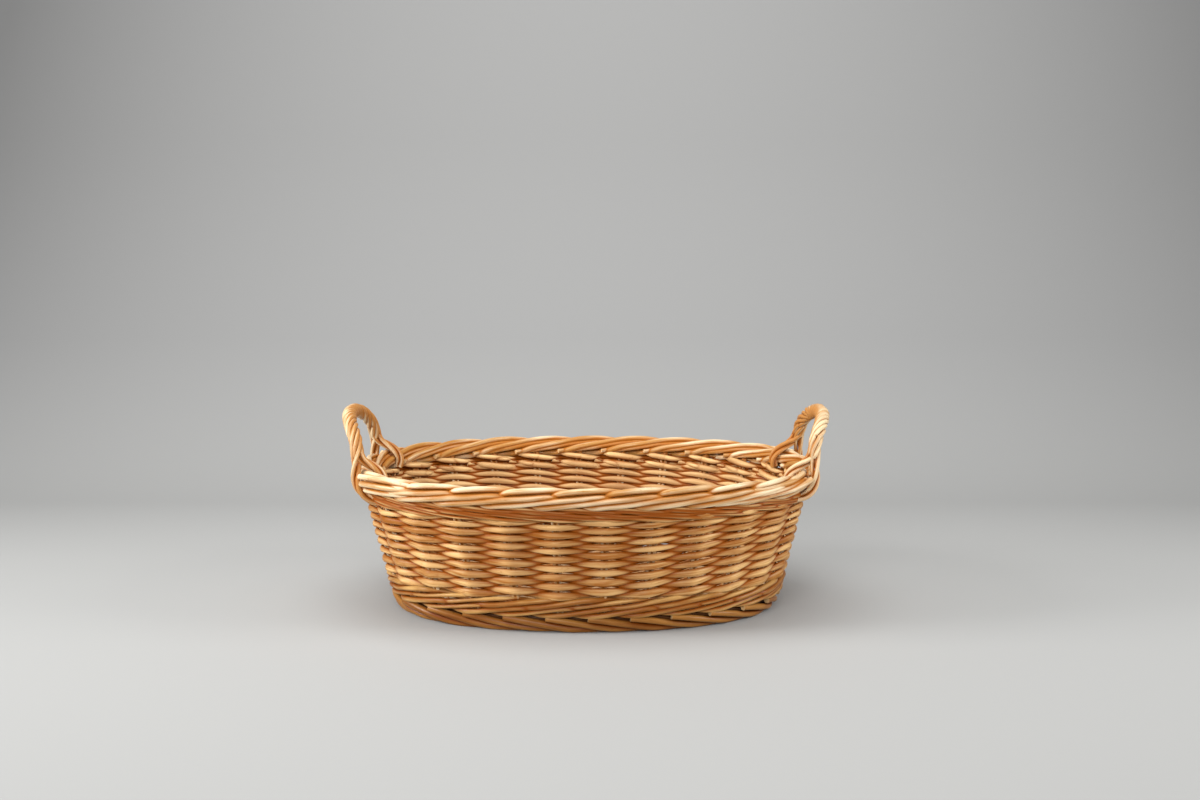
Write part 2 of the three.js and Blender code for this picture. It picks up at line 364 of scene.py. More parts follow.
# How far off the surface a crevice's short rays start, how far they reach, and how each of them
# leans from the surface's normal.
# What these rays find is where the material paints shade in crevices.
RAY_START = 0.0004
CREVICE = 0.009
LEANS = [(1.3, 0, 0), (-1.3, 0, 0), (0, 1.3, 0), (0, -1.3, 0), (0, 0, 1.3), (0, 0, -1.3)]


def new_group(name, inputs):
    """A new Geometry Nodes tree with these inputs and those of all rods, and them by name."""
    group = bpy.data.node_groups.new(name, "GeometryNodeTree")
    inputs = {**ROD_INPUTS, **inputs}
    for label, (kind, default) in inputs.items():
        kind = f"NodeSocket{kind}"
        socket = group.interface.new_socket(label, in_out="INPUT", socket_type=kind)
        if default is not None:
            socket.default_value = default
    group.interface.new_socket("Geometry", in_out="OUTPUT", socket_type="NodeSocketGeometry")
    tree = Tree(group)
    given = tree.node("NodeGroupInput")
    return tree, {label: tree.end(given, label) for label in inputs}


def skin(tree, given, lines, rod_number, upright):
    """Gives the lines their round section, and stores what the material reads."""
    length = tree.get("GeometryNodeSplineParameter", out="Length")
    # Each rod and each seed reads the noise at its own place.
    where = tree.xyz(length / given["Wander Length"], rod_number * 7.3, given["Seed"] * 3.1)
    noise = tree.node("ShaderNodeTexNoise", {"Vector": where, "Scale": 1.0, "Detail": 1.0})
    shift = tree.vector("SUBTRACT", tree.end(noise, "Color"), (0.5, 0.5, 0.5))
    fade = (length * WANDER_GROWTH).maths("MINIMUM", 1.0)
    shift = tree.scaled(shift, given["Wander"] * 2.0 * fade)
    lines = tree.get("GeometryNodeSetPosition", {"Geometry": lines, "Offset": shift})

    chance = tree.get("FunctionNodeRandomValue", {"ID": rod_number, "Seed": given["Seed"]})
    end = 1.0 - chance * given["Trim"]
    lines = tree.get("GeometryNodeTrimCurve", {"Curve": lines, "End": end}, mode="FACTOR")
    uneven = 1.0 + given["Uneven"] * (chance * 2.0 - 1.0)
    uneven = uneven * (1.0 + given["Uneven"] * (tree.end(noise, "Fac") - 0.5))
    radius = tree.get("GeometryNodeInputRadius") * given["Radius"] * uneven
    lines = tree.stored(lines, "rod", chance)
    lines = tree.stored(lines, "along", length)
    mode = "Z_UP" if upright else "MINIMUM_TWIST"
    lines = tree.get("GeometryNodeSetCurveNormal", {"Curve": lines}, mode=mode)

    values = {"Resolution": given["Sides"], "Radius": 1.0}
    ring = tree.get("GeometryNodeCurvePrimitiveCircle", values)
    ring = tree.stored(ring, "around", tree.get("GeometryNodeInputPosition"), "FLOAT_VECTOR")
    squash = tree.xyz(given["Flatness"], 1.0, 1.0)
    ring = tree.get("GeometryNodeTransform", {"Geometry": ring, "Scale": squash})
    values = {"Curve": lines, "Profile Curve": ring, "Scale": radius, "Fill Caps": True}
    mesh = tree.get("GeometryNodeCurveToMesh", values)

    around = tree.parts(tree.named("around", "FLOAT_VECTOR"))
    # Painted shade: how hidden each point is among the rods, which the material turns brown.
    mesh = tree.stored(mesh, "crevice", crevices(tree, mesh))
    # The material paints light on the siding's sides that face the middle, and shade on the
    # border's and handles'.
    middle = tree.vector("MULTIPLY", tree.get("GeometryNodeInputPosition"), (-1.0, -1.0, 0.0))
    middle = tree.vector("NORMALIZE", middle)
    values = {0: tree.get("GeometryNodeInputNormal"), 1: middle}
    inner = tree.get("ShaderNodeVectorMath", values, out="Value", operation="DOT_PRODUCT")
    mesh = tree.stored(mesh, "inner", inner)
    grain = tree.xyz(tree.named("along"), *[side * given["Radius"] for side in around[:2]])
    mesh = tree.stored(mesh, "grain", grain, "FLOAT_VECTOR")
    # A rod's sides are faces of four corners, so any with more is a cut end.
    corners = tree.get("GeometryNodeInputMeshFaceNeighbors", out="Vertex Count")
    cut = corners.maths("GREATER_THAN", 4.5)
    mesh = tree.stored(mesh, "cut", cut, domain="FACE")
    mesh = tree.get("GeometryNodeSetShadeSmooth", {"Geometry": mesh, "Selection": 1.0 - cut})
    mesh = tree.get("GeometryNodeRealizeInstances", {"Geometry": mesh})
    values = {"Geometry": mesh, "Material": given["Material"]}
    mesh = tree.get("GeometryNodeSetMaterial", values)
    tree.node("NodeGroupOutput", {"Geometry": mesh})


def crevices(tree, mesh):
    """How deep in a crevice the surface lies, for the material's painted shade: how many short
    rays meet a rod, and how soon.
    """
    normal = tree.get("GeometryNodeInputNormal")
    start = tree.scaled(normal, RAY_START)
    start = tree.vector("ADD", tree.get("GeometryNodeInputPosition"), start)
    hidden = 0.0
    for lean in LEANS:
        values = {
            "Target Geometry": mesh,
            "Source Position": start,
            "Ray Direction": tree.vector("ADD", normal, lean),
            "Ray Length": CREVICE,
        }
        ray = tree.node("GeometryNodeRaycast", values)
        near = 1.0 - tree.end(ray, "Hit Distance") / CREVICE
        hidden = tree.end(ray, "Is Hit") * near + hidden
    return tree.get("GeometryNodeBlurAttribute", {"Value": hidden / len(LEANS), "Iterations": 2})


def copied_way(tree, given, count):
    """As many copies of the way as the input of that name says, and the number of each."""
    way = tree.get("GeometryNodeObjectInfo", {"Object": given["Way"]}, out="Geometry")
    values = {"Geometry": way, "Amount": given[count]}
    copies = tree.node("GeometryNodeDuplicateElements", values, domain="SPLINE")
    return tree.end(copies, "Geometry"), tree.end(copies, "Duplicate Index")


def round_tree(name, upright):
    """Repeats a way round the basket and bends it on to the oval wall."""
    inputs = {
        "Floor Oval": ("Object", None),
        "Rim Oval": ("Object", None),
        "Rim Height": ("Float", 0.1242),
        "Stakes": ("Int", 26),
        "First": ("Float", 0.3),
        "Copies": ("Int", 26),
        "Apart": ("Float", 1.0),
        "Drift": ("Float", 0.1),
    }
    tree, given = new_group(name, inputs)
    lines, number = copied_way(tree, given, "Copies")
    along, out, up = tree.parts(tree.get("GeometryNodeInputPosition"))
    along = along + given["First"] + number * given["Apart"]
    share = along / given["Stakes"]
    drift = (share * math.tau).maths("COSINE") * given["Drift"]
    share = share + drift / given["Stakes"]
    share = share.maths("FRACT")
    places = []
    tangents = []
    for name in ("Floor Oval", "Rim Oval"):
        ring = tree.get("GeometryNodeObjectInfo", {"Object": given[name]}, out="Geometry")
        values = {"Curves": ring, "Factor": share}
        sample = tree.node("GeometryNodeSampleCurve", values, use_all_curves=True)
        places.append(tree.end(sample, "Position"))
        tangents.append(tree.end(sample, "Tangent"))
    rise = up / given["Rim Height"]
    wall = tree.mixed(rise, *places, kind="VECTOR", clamp_factor=False)
    onwards = tree.mixed(rise, *tangents, kind="VECTOR", clamp_factor=False)
    on_x, on_y, _ = tree.parts(onwards)
    outwards = tree.vector("NORMALIZE", tree.xyz(on_y, on_x * -1.0, 0.0))
    place = tree.vector("ADD", wall, tree.scaled(outwards, out))
    place = tree.vector("ADD", place, tree.xyz(0.0, 0.0, up))
    lines = tree.get("GeometryNodeSetPosition", {"Geometry": lines, "Position": place})
    skin(tree, given, lines, tree.get("GeometryNodeCurveOfPoint"), upright)


def rope_tree():
    """Winds strands round a way. Its thickness is the rope's and its turn the strands' twist."""
    inputs = {
        "Outwards": ("Vector", (1.0, 0.0, 0.0)),
        "Strands": ("Int", 3),
        "First": ("Float", 0.0),
    }
    tree, given = new_group("Twisted Strands", inputs)
    lines, number = copied_way(tree, given, "Strands")
    number = number + given["First"]
    angle = number * math.tau / given["Strands"] + tree.get("GeometryNodeInputCurveTilt")
    onwards = tree.get("GeometryNodeInputTangent")
    across = tree.vector("CROSS_PRODUCT", onwards, given["Outwards"])
    across = tree.vector("NORMALIZE", across)
    away = tree.vector("CROSS_PRODUCT", across, onwards)
    away = tree.scaled(away, angle.maths("COSINE"))
    offset = tree.vector("ADD", away, tree.scaled(across, angle.maths("SINE")))
    offset = tree.scaled(offset, tree.get("GeometryNodeInputRadius"))
    lines = tree.get("GeometryNodeSetPosition", {"Geometry": lines, "Offset": offset})
    lines = tree.get("GeometryNodeSetCurveRadius", {"Curve": lines, "Radius": 1.0})
    skin(tree, given, lines, number, upright=False)


def base_tree():
    """Rods laid along the base, over and under the sticks across it, as far as its oval."""
    inputs = {
        "Half Length": ("Float", 0.18),
        "Half Width": ("Float", 0.12),
        "Squareness": ("Float", 2.15),
        "Height": ("Float", 0.0227),
        "Rows": ("Int", 58),
        "Stick Spacing": ("Float", 0.034),
        "Lift": ("Float", 0.0032),
    }
    tree, given = new_group("Woven Base", inputs)
    lines, row = copied_way(tree, given, "Rows")
    share = (row + 0.5) / given["Rows"] * 2.0 - 1.0
    reach = 1.0 - share.maths("ABSOLUTE") ** given["Squareness"]
    reach = given["Half Length"] * reach ** (1.0 / given["Squareness"])
    along = tree.parts(tree.get("GeometryNodeInputPosition"))[0] * reach
    wave = along / given["Stick Spacing"] + row + 0.5
    wave = (wave * math.pi).maths("COSINE")
    place = tree.xyz(along, share * given["Half Width"], given["Height"] + wave * given["Lift"])
    lines = tree.get("GeometryNodeSetPosition", {"Geometry": lines, "Position": place})
    skin(tree, given, lines, row, upright=True)


def rod_tree():
    """Gives plain lines the section of a rod."""
    tree, given = new_group("Willow Rods", {})
    way = tree.get("GeometryNodeObjectInfo", {"Object": given["Way"]}, out="Geometry")
    skin(tree, given, way, tree.get("GeometryNodeCurveOfPoint"), upright=False)


def grow(name, tree, nodes, lines, inputs):
    """Runs that node tree along the lines and keeps the mesh in place of the CAD nodes."""
    way = line_object(f"{name}_way", lines)
    piece = bpy.data.objects.new(name, bpy.data.meshes.new(name))
    bpy.context.collection.objects.link(piece)
    modifier = piece.modifiers.new(name, "NODES")
    modifier.node_group = bpy.data.node_groups[tree]
    inputs = {"Way": way, **inputs}
    for socket in modifier.node_group.interface.items_tree:
        if socket.in_out == "INPUT" and socket.name in inputs:
            modifier[socket.identifier] = inputs[socket.name]
    graph = bpy.context.evaluated_depsgraph_get()
    mesh = bpy.data.meshes.new_from_object(piece.evaluated_get(graph))
    if not mesh.polygons:
        raise RuntimeError(f"{name} came out empty")
    piece.modifiers.clear()
    piece.data = mesh
    mesh.name = name
    bpy.data.objects.remove(way)
    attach(piece, "root")
    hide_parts(*nodes)


# Materials


# The colour of willow that is cut across, and of the painted light on the siding's inner sides.
CREAM = (0.84, 0.60, 0.30, 1)
# What a rod's dark colour is multiplied by for the brown of its scars, and of the painted shade in
# its crevices.
BROWN_SHARE = (0.82, 0.54, 0.24, 1)
# How far into a strand the top of a handle lies, in metres. From there the handles' painted
# shade deepens towards their back legs.
HANDLE_TOP = 0.17
# How a part's rods differ from plain ones: their sheen, the painted light on the siding's sides
# that face the middle of the basket, the painted shade on the border's and the handles', and how
# much the handles' painted shade deepens the tone in a metre of rod.
FINISHES = {
    "siding": {"gloss": 0.12, "painted_inner_light": 0.4},
    "border": {"painted_inner_shade": 0.3},
    "handle": {"painted_inner_shade": 1.3, "painted_shade_along": 3.5},
}


def willow(name, light, dark, gloss=0.25, painted_inner_light=0.0, painted_inner_shade=0.0, painted_shade_along=0.0):
    """Willow: each rod its own tone, streaks along it, painted shade in crevices and pale cut
    ends.
    """
    material = bpy.data.materials.new(name)
    material.use_nodes = True
    tree = Tree(material.node_tree)
    rod, cut, crevice, inner = [
        tree.get("ShaderNodeAttribute", out="Fac", attribute_name=attribute)
        for attribute in ("rod", "cut", "crevice", "inner")
    ]
    grain = tree.get("ShaderNodeAttribute", out="Vector", attribute_name="grain")
    brown = tuple(a * b for a, b in zip(dark, BROWN_SHARE))
    apart = tree.xyz(rod * 9.0, rod * 5.0, rod * 7.0)

    def noise(along, across, detail):
        """Noise over the rod, in bumps a metre along and across it. Each rod has its own."""
        where = tree.vector("MULTIPLY", grain, (along, across, across))
        where = tree.vector("ADD", where, apart)
        values = {"Vector": where, "Scale": 1.0, "Detail": detail}
        return tree.get("ShaderNodeTexNoise", values)

    patches = noise(along=18, across=60, detail=2.0)
    streaks = noise(along=35, across=650, detail=4.0)
    flecks = noise(along=160, across=260, detail=2.0)

    # A tone of 0 is the light colour and 1 the dark one.
    tone = 0.05 + rod * 0.6 + (patches - 0.5) * 2.4 + (streaks - 0.5) * 2.2
    # Painted shade: the handles darken from their front legs to their back legs.
    tone = tone + (tree.parts(grain)[0] - HANDLE_TOP) * painted_shade_along
    # Painted shade on the sides that face the middle of the basket.
    tone = tone + tree.growing(inner, 0.0, 0.7, painted_inner_shade)
    colour = tree.mixed(tone, light, dark)
    for value, start, end, most, stain in (
        (patches, 0.5, 0.75, 0.35, brown),
        (flecks, 0.64, 0.76, 0.4, brown),
        # Painted light: the sides that face the middle of the basket turn cream.
        (inner, 0.0, 0.5, painted_inner_light, CREAM),
        # Painted shade: the deeper in a crevice, the browner.
        (crevice, 0.03, 0.32, 1.0, brown),
        (cut, 0.0, 1.0, 0.45, CREAM),
    ):
        colour = tree.mixed(tree.growing(value, start, end, most), colour, stain)

    bump = tree.get("ShaderNodeBump", {"Height": streaks, "Strength": 0.4, "Distance": 0.0005})
    shader = tree.get(
        "ShaderNodeBsdfPrincipled",
        {
            "Base Color": colour,
            "Roughness": 0.48 + (streaks - 0.5) * 0.4 + cut * 0.3,
            "Normal": bump,
            "Specular IOR Level": 0.1,
            "Coat Weight": (1.0 - crevice) * gloss,
            "Coat Roughness": 0.3,
        },
    )
    tree.node("ShaderNodeOutputMaterial", {"Surface": shader})
    return material


# Painted shade: the wall's darker colour comes in between these heights, and a step back counts
# as this share of one up.
WALL_FROM = 0.1
WALL_TO = 0.66
BACK_SHARE = 0.5
# Painted light on the paper: how far right it is brightest, in metres, how fast it darkens with
# the square of the distance from there, and how much faster a metre higher up.
BRIGHTEST = 0.12
FALLOFF = 0.24
FALLOFF_RISE = 0.36
# The paper turns clear between these distances from a point this far behind the basket.
CLEAR_CENTRE = 0.5
CLEAR_FROM = 1.4
CLEAR_TO = 2.2


def backdrop(name, floor, wall):
    """Matt paper with painted light: paler on the floor than on the wall, darker to the sides and
    front; clear far out and from its back.
    """
    material = bpy.data.materials.new(name)
    material.use_nodes = True
    tree = Tree(material.node_tree)
    x, y, z = tree.parts(tree.get("ShaderNodeTexCoord", out="Object"))
    climb = tree.growing(z + y * BACK_SHARE, WALL_FROM, WALL_TO)
    colour = tree.mixed(climb, floor, wall)
    shade = 1.0 - (x - BRIGHTEST) ** 2.0 * (FALLOFF + z * FALLOFF_RISE)
    # Painted shade: it is also a little darker to the front, and nowhere darker than half.
    shade = shade * (1.06 + y.maths("MINIMUM", 0.1) * 0.13)
    colour = tree.scaled(colour, shade.maths("MAXIMUM", 0.5))
    paper = tree.get("ShaderNodeBsdfPrincipled", {"Base Color": colour, "Roughness": 0.9})
    back = tree.get("ShaderNodeNewGeometry", out="Backfacing")
    distance = (x * x + (y - CLEAR_CENTRE) ** 2.0) ** 0.5
    far = tree.growing(distance, CLEAR_FROM, CLEAR_TO, interpolation_type="SMOOTHSTEP")
    clear = tree.get("ShaderNodeBsdfTransparent")
    hidden = far.maths("MAXIMUM", back)
    shader = tree.get("ShaderNodeMixShader", {0: hidden, 1: paper, 2: clear})
    tree.node("ShaderNodeOutputMaterial", {"Surface": shader})
    return material


def pale_world(name, glow, seen):
    """A world that lights the scene this much, and looks that bright beyond the paper."""
    world = bpy.data.worlds.new(name)
    world.use_nodes = True
    tree = Tree(world.node_tree)
    camera = tree.get("ShaderNodeLightPath", out="Is Camera Ray")
    strength = glow + camera * (seen - glow)
    background = tree.get("ShaderNodeBackground", {"Color": (1, 1, 1, 1), "Strength": strength})
    tree.node("ShaderNodeOutputWorld", {"Surface": background})
    return world


# Sizes and colours


def length_property(label, default):
    return FloatProperty(name=label, description=label, default=default, unit="LENGTH")


def number_property(label, default):
    return FloatProperty(name=label, description=label, default=default)


def colour_property(label, default):
    return FloatVectorProperty(
        name=label, description=label, default=(*default, 1), size=4, subtype="COLOR"
    )


class BasketSizes(PropertyGroup):
    floor_half_length: length_property("Half the length of the stake line at the floor", 0.187)
    floor_half_width: length_property("Half the width of the stake line at the floor", 0.127)
    floor_squareness: number_property("Power of the floor's oval", 2.15)
    rim_half_length: length_property("Half the length of the stake line at the rim", 0.2185)
    rim_half_width: length_property("Half the width of the stake line at the rim", 0.1625)
    rim_squareness: number_property("Power of the rim's oval", 2.3)
    rim_height: length_property("Height of the rim's oval", 0.1242)
    stakes: IntProperty(name="Stakes", description="Number of upright stakes", default=26)
    first_stake: number_property("Place of the first stake, in stakes from the middle", 0.3)
    drift: number_property("How far the stakes of the front drift right, in stakes", 0.11)
    base_height: length_property("Height of the middle of the base", 0.0227)


class RodSizes(PropertyGroup):
    stake: length_property("Radius of each of the two rods of a stake", 0.0019)
    border: length_property("Radius of a border rod", 0.0029)
    weaver_butt: length_property("Radius of a weaver at its thick end", 0.0038)
    weaver_tip: length_property("Radius of a weaver at its thin end", 0.0028)
    weaver_base: length_property("Height where the siding starts", 0.0349)
    bottom_wale: length_property("Radius of a rod of the bottom wale", 0.0025)
    top_wale: length_property("Radius of a rod of the top wale", 0.0018)
    foot: length_property("Radius of a foot rod", 0.0034)
    stick: length_property("Radius of a stick of the base", 0.0026)
    base: length_property("Radius of a rod of the base", 0.0024)
    strand: length_property("Radius of a strand of the handles", 0.0022)


class HandleSizes(PropertyGroup):
    half_span: length_property("Half the distance between a handle's legs", 0.068)
    foot: length_property("Height where the arch starts", 0.151)
    rise: length_property("Rise of the arch", 0.043)
    leg: length_property("Distance of the legs from the basket's middle", 0.221)
    lean: length_property("How far the arch leans out", 0.0155)
    rope: length_property("Radius of the ring of strands in the rope", 0.0049)
    tight: length_property("Length of one turn of the strands at the top", 0.031)
    loose: length_property("Length of one turn of the strands in the legs", 0.09)


class BasketColours(PropertyGroup):
    siding_light: colour_property("Siding, light rods", (0.7, 0.435, 0.18))
    siding_dark: colour_property("Siding, dark rods", (0.32, 0.117, 0.016))
    border_light: colour_property("Border, light rods", (0.77, 0.61, 0.39))
    border_dark: colour_property("Border, dark rods", (0.45, 0.225, 0.058))
    wale_light: colour_property("Wales, light rods", (0.52, 0.3, 0.1))
    wale_dark: colour_property("Wales, dark rods", (0.28, 0.11, 0.018))
    foot_light: colour_property("Foot, light rods", (0.34, 0.148, 0.031))
    foot_dark: colour_property("Foot, dark rods", (0.185, 0.06, 0.007))
    # The lining's very dark colours are painted shade under the wale.
    lining_light: colour_property("Inside of the foot, light rods", (0.14, 0.055, 0.016))
    lining_dark: colour_property("Inside of the foot, dark rods", (0.07, 0.025, 0.007))
    handle_light: colour_property("Handles, light strands", (0.72, 0.56, 0.34))
    handle_dark: colour_property("Handles, dark strands", (0.46, 0.21, 0.055))
    # Floor and wall are one paper; the wall's darker colour is painted shade.
    floor: colour_property("Studio floor", (0.352, 0.352, 0.344))
    wall: colour_property("Studio wall", (0.268, 0.268, 0.265))


class Studio(PropertyGroup):
    camera_place: FloatVectorProperty(
        name="Camera", description="Place of the camera", default=(0.014, -1.7, 0.414),
        subtype="TRANSLATION",
    )
    camera_tilt: FloatProperty(
        name="Tilt", description="Angle of the camera from straight down",
        default=math.radians(83.03), subtype="ANGLE",
    )
    lens: number_property("Focal length in mm", 51.0)


# Operators


def numbered(word, count):
    """The names of the CAD nodes that are counted from 01."""
    return [f"{word}_{number:02d}" for number in range(1, count + 1)]


def round_inputs(scene, radius, material, **more):
    """The inputs that all rods laid round the basket take, with these and any more."""
    sizes = scene.basket_sizes
    return {
        "Floor Oval": bpy.data.objects["floor_oval"],
        "Rim Oval": bpy.data.objects["rim_oval"],
        "Rim Height": sizes.rim_height,
        "Stakes": sizes.stakes,
        "First": sizes.first_stake,
        "Copies": sizes.stakes,
        "Drift": sizes.drift,
        "Radius": radius,
        "Material": bpy.data.materials[material],
        **more,
    }


class BASKET_OT_prepare(Operator):
    """Makes the ovals, the node trees and the materials that the pieces share"""

    bl_idname = "basket.prepare"
    bl_label = "Prepare"

    def execute(self, context):
        sizes = context.scene.basket_sizes
        colours = context.scene.basket_colours
        for level in ("floor", "rim"):
            values = [
                getattr(sizes, f"{level}_{size}")
                for size in ("half_length", "half_width", "squareness")
            ]
            line_object(f"{level}_oval", [oval(*values)], closed=True)
        round_tree("Rods Round the Basket", upright=True)
        round_tree("Bent Rods Round the Basket", upright=False)
        rope_tree()
        base_tree()
        rod_tree()
        for part in ("siding", "border", "wale", "foot", "lining", "handle"):
            light = tuple(getattr(colours, f"{part}_light"))
            dark = tuple(getattr(colours, f"{part}_dark"))
            willow(f"{part}_rods", light, dark, **FINISHES.get(part, {}))
        return {"FINISHED"}


class BASKET_OT_stakes(Operator):
    """Sets up the stakes and lays them down along the rim as the border"""

    bl_idname = "basket.stakes"
    bl_label = "Stakes and Border"

    # A stake's two rods stand this far to its sides, in stakes, and pass these heights, in mm.
    APART = 0.042
    HEIGHTS = (18, 60, 100, 131)

    def execute(self, context):
        rods = context.scene.rod_sizes
        stakes = context.scene.basket_sizes.stakes
        thin = rods.stake / rods.border
        lines = [
            in_metres(smooth([(side, 0, height, thin) for height in self.HEIGHTS], 3))
            for side in (-self.APART, self.APART)
        ]
        lines += [in_metres(smooth(way, 5)) for way in (BORDER_WAY, BORDER_TWIN)]
        ends = [in_metres(smooth(way, 5)) for way in BORDER_ENDS]
        more = {"Sides": 12, "Wander": 0.0006, "Trim": 0.035, "Seed": 4}
        inputs = round_inputs(context.scene, rods.border, "border_rods", **more)
        # The blunt ends come twice, half of the stakes apart.
        twice = {"First": 0, "Drift": 0, "Copies": 2, "Apart": stakes / 2, "Seed": 6}
        nodes = numbered("stake", stakes)
        for name, ways, more in (("stakes_and_border", lines, {}), ("border_ends", ends, twice)):
            values = {**inputs, **more}
            grow(name, "Bent Rods Round the Basket", nodes, ways, values)
        return {"FINISHED"}


class BASKET_OT_siding(Operator):
    """Weaves the siding: long rods that climb round the wall, in and out of the stakes"""

    bl_idname = "basket.siding"
    bl_label = "Siding"

    RODS = 18
    # Steps of a rod from stake to stake, and how many stakes it goes on after a whole round.
    STEPS = 14
    PAST = 1.7
    # The rods don't climb along this stretch, from a stake on and for a number of stakes.
    LEVEL_FROM = 18.5
    LEVEL_STAKES = 8
    # How far apart the rows lie, in mm.
    BOTTOM_PITCH = 5.0
    TOP_PITCH = 3.65
    # How far a rod swings out in front of a stake and in behind the next, in mm, how sharply it
    # turns, from 0 for a wave to 1 for a zigzag, and how much it is straightened between stakes.
    OUTSIDE = 4.6
    INSIDE = 4.2
    SHARPNESS = 0.97
    STRAIGHTENING = 3.2
    # How far a rod rises behind a stake, as a share of the pitch.
    RAISED = 0.62
    # How full a rod looks between stakes, and how much fuller in front of a stake and behind it.
    FULLNESS = 0.76
    FULLER_OUTSIDE = 0.26
    FULLER_INSIDE = 0.32

    def climbing(self, along, stakes):
        """How much of a full climb the rods make there: all of it, or none on the level."""
        half = self.LEVEL_STAKES / 2
        away = along - self.LEVEL_FROM - half
        away = abs((away + stakes / 2) % stakes - stakes / 2)
        return min(max(away - half + 0.5, 0), 1)

    def rod(self, start, stakes, rods):
        """One rod's way from the stake where it starts, once round the basket."""
        line = []
        level = 0
        for step in range(round((stakes + self.PAST) * self.STEPS)):
            passed = step / self.STEPS
            climbed = level / self.RODS
            pitch = self.BOTTOM_PITCH + (self.TOP_PITCH - self.BOTTOM_PITCH) * climbed
            height = rods.weaver_base / MM + (self.BOTTOM_PITCH + pitch) / 2 * level
            thick = rods.weaver_butt + (rods.weaver_tip - rods.weaver_butt) * climbed
            outer = -math.cos(math.pi * passed)
            swing = math.asin(self.SHARPNESS * outer) / math.asin(self.SHARPNESS)
            beyond = passed % 1
            flat = self.STRAIGHTENING * beyond * (1 - beyond)
            if outer > 0:
                out = self.OUTSIDE * swing - flat
                fullness = self.FULLNESS + self.FULLER_OUTSIDE * outer
            else:
                out = self.INSIDE * swing - flat
                fullness = self.FULLNESS - self.FULLER_INSIDE * outer
                height -= self.RAISED * pitch * outer
            share = fullness * thick / rods.weaver_butt
            line.append((start + passed, out * MM, height * MM, share, 0))
            level += self.climbing(start + passed, stakes) / self.STEPS
        return line

    def execute(self, context):
        rods = context.scene.rod_sizes
        stakes = context.scene.basket_sizes.stakes
        lines = [self.rod(start, stakes, rods) for start in range(1, self.RODS + 1)]
        more = {"Sides": 12, "Flatness": 0.6, "Wander": 0.0009, "Uneven": 0.14, "Seed": 11}
        butt = rods.weaver_butt
        inputs = round_inputs(context.scene, butt, "siding_rods", Copies=1, **more)
        nodes = numbered("weaver", stakes)
        grow("siding", "Rods Round the Basket", nodes, lines, inputs)
        return {"FINISHED"}


class BASKET_OT_wales(Operator):
    """Twists the wales below and above the siding out of short strokes over two stakes"""

    bl_idname = "basket.wales"
    bl_label = "Wales"

    # Stations of a stroke that lie further in than this are on the inside.
    INNER = -0.5

    def execute(self, context):
        rods = context.scene.rod_sizes
        # Heights are in mm. A stroke climbs by its round's height times lean. The last numbers say
        # how much thicker and further in each round's rods are on the inside.
        for name, radius, low, high, lean, material, inside in (
            ("bottom_wale", rods.bottom_wale, 17.4, 34, 1, "wale_rods", (1, 1)),
            ("top_wale", rods.top_wale, 114.2, 126.6, -1.3, "siding_rods", (1.65, 0.5, 1.65)),
        ):
            rounds = len(inside)
            pitch = (high - low) / rounds
            swing = (rods.stake + radius) / MM
            lines = []
            for turn in range(rounds):
                stroke = []
                for along, out, up, thick in WALE_STROKE:
                    height = low + pitch * (turn + 0.5 + lean * (up - 0.5))
                    if out < self.INNER:
                        out = out * inside[turn]
                        thick = thick * inside[turn]
                    stroke.append((along + 0.5 * turn, out * swing, height, thick))
                lines.append(in_metres(smooth(stroke, 4)))
            more = {"Wander": 0.0008, "Uneven": 0.22, "Seed": 21}
            inputs = round_inputs(context.scene, radius, material, **more)
            grow(name, "Rods Round the Basket", [name], lines, inputs)
        return {"FINISHED"}


class BASKET_OT_foot(Operator):
    """Lays the foot: short rods that run from under the wale down on to the floor"""

    bl_idname = "basket.foot"
    bl_label = "Foot"

    def execute(self, context):
        rods = context.scene.rod_sizes
        tree = "Bent Rods Round the Basket"
        for name, stations, material in (
            ("foot", FOOT_WAY, "foot_rods"),
            ("foot_lining", FOOT_LINING, "lining_rods"),
        ):
            lines = [in_metres(smooth(stations, 5))]
            more = {"Sides": 14, "Wander": 0.0006, "Uneven": 0.14, "Seed": 31}
            inputs = round_inputs(context.scene, rods.foot, material, **more)
            grow(name, tree, ["foot_border"], lines, inputs)
        return {"FINISHED"}


class BASKET_OT_base(Operator):
    """Weaves the base: rods along it, over and under the sticks that lie across it"""

    bl_idname = "basket.base"
    bl_label = "Base"

    CROSS_STICKS = 10
    SPACING = 0.034
    LONG_STICKS = 3
    LONG_SPACING = 0.022
    # How far the base stays inside the stakes, and the steps of a rod of it from end to end.
    INSET = 0.002
    ROW_STEPS = 180

    def sticks(self, count, spacing, half, reach, power):
        """How far from the middle each of these sticks lies, and how far it reaches there."""
        for number in range(count):
            away = (number - (count - 1) / 2) * spacing
            yield away, reach * (1 - abs(away / half) ** power) ** (1 / power)

    def execute(self, context):
        sizes = context.scene.basket_sizes
        rods = context.scene.rod_sizes
        half_length = sizes.floor_half_length - self.INSET
        half_width = sizes.floor_half_width - self.INSET
        power = sizes.floor_squareness
        material = bpy.data.materials["border_rods"]
        up = sizes.base_height
        cross = self.sticks(self.CROSS_STICKS, self.SPACING, half_length, half_width, power)
        long = self.sticks(self.LONG_STICKS, self.LONG_SPACING, half_width, half_length, power)
        ways = [[(x, side * y, up, 1, 0) for side in (-1, 0, 1)] for x, y in cross]
        ways += [[(side * x, y, up, 1, 0) for side in (-1, 0, 1)] for y, x in long]
        sticks = [smooth(way, 12) for way in ways]
        inputs = {"Radius": rods.stick, "Seed": 41, "Material": material}
        grow("base_sticks", "Willow Rods", ["base_sticks"], sticks, inputs)

        half = self.ROW_STEPS / 2
        row = [(step / half - 1, 0, 0, 1, 0) for step in range(self.ROW_STEPS + 1)]
        inputs = {
            "Half Length": half_length,
            "Half Width": half_width,
            "Squareness": power,
            "Height": up,
            "Stick Spacing": self.SPACING,
            "Radius": rods.base,
            "Sides": 8,
            "Seed": 43,
            "Material": material,
        }
        grow("base_weaving", "Woven Base", ["base_weaving"], [row], inputs)
        return {"FINISHED"}


